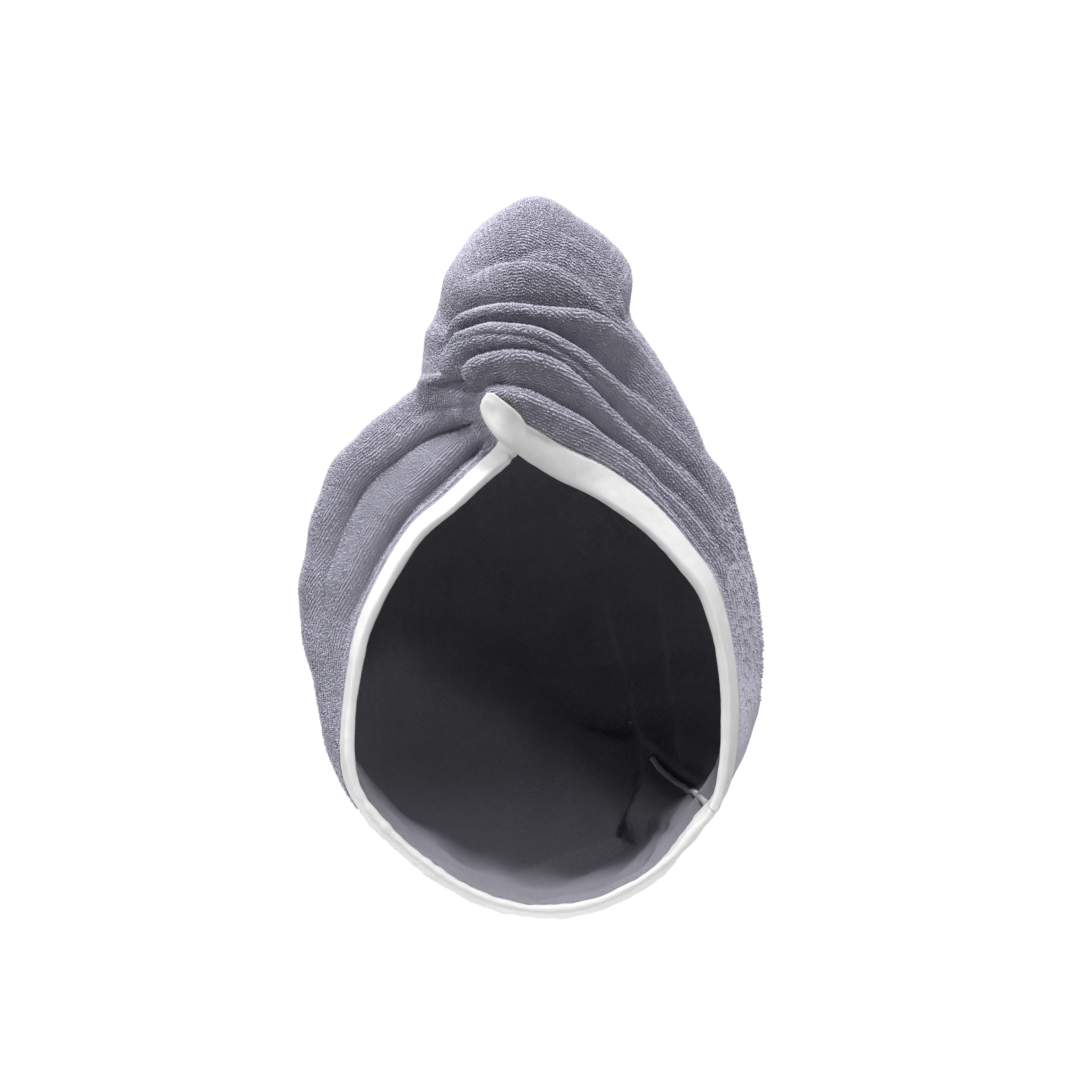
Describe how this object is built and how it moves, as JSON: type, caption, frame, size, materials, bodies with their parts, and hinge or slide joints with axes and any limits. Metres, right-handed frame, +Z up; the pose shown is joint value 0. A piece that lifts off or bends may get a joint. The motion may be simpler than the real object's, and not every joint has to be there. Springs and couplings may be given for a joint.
{
  "type": "hair turban towel",
  "caption": "Terry towel hood with a taped oval opening, a crossed front roll and a twisted tail buttoned at the nape.",
  "frame": {"origin": "middle of the opening, in the plane of its edge, where the head goes in", "axes": "+Z up from the nape edge through the crossing to the roll, -Y out of the opening, +X to the side of the over-lapping panel"},
  "size_m": [0.2025, 0.1959, 0.3171],
  "materials": {
    "terry": "grey lavender looped microfibre terry",
    "satin": "white satin binding tape",
    "thread": "overlock thread over terry",
    "button": "satin grey resin"
  },
  "bodies": {
    "root": {"hood": "terry", "tail_twist": "terry", "over_binding": "satin", "under_binding": "satin", "inner_seam": "thread", "nape_button": "button"}
  },
  "joints": []
}
